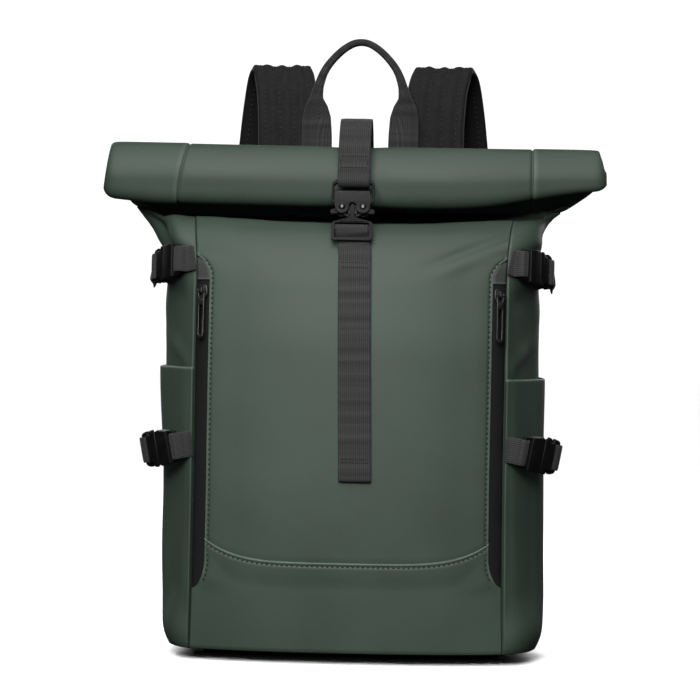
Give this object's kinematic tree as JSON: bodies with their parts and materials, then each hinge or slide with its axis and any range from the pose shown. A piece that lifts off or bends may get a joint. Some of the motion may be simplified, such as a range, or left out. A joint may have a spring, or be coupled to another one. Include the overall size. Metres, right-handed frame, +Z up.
{
  "type": "roll-top backpack",
  "caption": "Roll-top backpack of coated cloth standing on its base: the mouth is rolled forward and held by a webbing strap with a metal quick-release buckle.",
  "frame": {"origin": "middle of the base, on the surface the bag stands on", "axes": "+Z up, +X to the right seen from the front, the front faces -Y"},
  "size_m": [0.397, 0.208, 0.4934],
  "materials": {
    "coated_cloth": "polyester cloth with a matte polyurethane coating",
    "strap_pad": "woven polyester over foam, sewn in channels",
    "zip_tape": "smooth polyurethane-coated zip tape",
    "zip_metal": "semi-gloss black paint",
    "buckle_metal": "satin black coating on die-cast metal",
    "buckle_plastic": "injection-moulded acetal, satin",
    "webbing": "ribbed polyester webbing"
  },
  "bodies": {
    "bag": {"front_panel": "coated_cloth", "front_foot": "coated_cloth", "gusset_left": "coated_cloth", "gusset_right": "coated_cloth", "base_panel": "coated_cloth", "roll_top": "coated_cloth", "side_pocket_left": "coated_cloth", "side_pocket_right": "coated_cloth", "back_panel": "strap_pad", "shoulder_strap_left": "strap_pad", "shoulder_strap_right": "strap_pad", "zip_tape_left": "zip_tape", "zip_tape_right": "zip_tape", "zip_slider_left": "zip_metal", "zip_slider_right": "zip_metal", "buckle_housing": "buckle_metal", "buckle_tongue": "buckle_metal", "side_buckle_upper_left_plug": "buckle_plastic", "side_buckle_upper_left_socket": "buckle_plastic", "side_buckle_upper_right_plug": "buckle_plastic", "side_buckle_upper_right_socket": "buckle_plastic", "side_buckle_lower_left_plug": "buckle_plastic", "side_buckle_lower_left_socket": "buckle_plastic", "side_buckle_lower_right_plug": "buckle_plastic", "side_buckle_lower_right_socket": "buckle_plastic", "shoulder_adjuster_left": "buckle_plastic", "shoulder_adjuster_right": "buckle_plastic", "closure_strap_upper": "webbing", "closure_strap_lower": "webbing", "grab_handle": "webbing", "shoulder_webbing_left": "webbing", "shoulder_webbing_right": "webbing", "side_strap_tail_left": "webbing", "side_strap_tail_right": "webbing", "side_strap_upper_left_front": "webbing", "side_strap_upper_left_rear": "webbing", "side_strap_upper_right_front": "webbing", "side_strap_upper_right_rear": "webbing", "side_strap_lower_left_front": "webbing", "side_strap_lower_left_rear": "webbing", "side_strap_lower_right_front": "webbing", "side_strap_lower_right_rear": "webbing"},
    "buckle_lever_left": {"buckle_lever_left": "buckle_metal"},
    "buckle_lever_right": {"buckle_lever_right": "buckle_metal"},
    "zip_pull_left": {"zip_pull_left": "zip_metal"},
    "zip_pull_right": {"zip_pull_right": "zip_metal"}
  },
  "joints": [
    {"name": "lever_left", "type": "hinge", "parent": "bag", "child": "buckle_lever_left", "pos_m": [-0.0081, -0.043, 0.352], "axis": [0, 0.9063, -0.4226], "range_deg": [0, 14], "stiffness_Nm_per_rad": 0.02},
    {"name": "lever_right", "type": "hinge", "parent": "bag", "child": "buckle_lever_right", "pos_m": [0.0081, -0.043, 0.352], "axis": [0, -0.9063, 0.4226], "range_deg": [0, 14], "stiffness_Nm_per_rad": 0.02},
    {"name": "pull_left", "type": "hinge", "parent": "bag", "child": "zip_pull_left", "pos_m": [-0.1157, -0.05434, 0.28677], "axis": [-0.947, 0.3172, -0.0502], "range_deg": [0, 160]},
    {"name": "pull_right", "type": "hinge", "parent": "bag", "child": "zip_pull_right", "pos_m": [0.1157, -0.05434, 0.28677], "axis": [-0.947, -0.3172, 0.0502], "range_deg": [0, 160]}
  ]
}
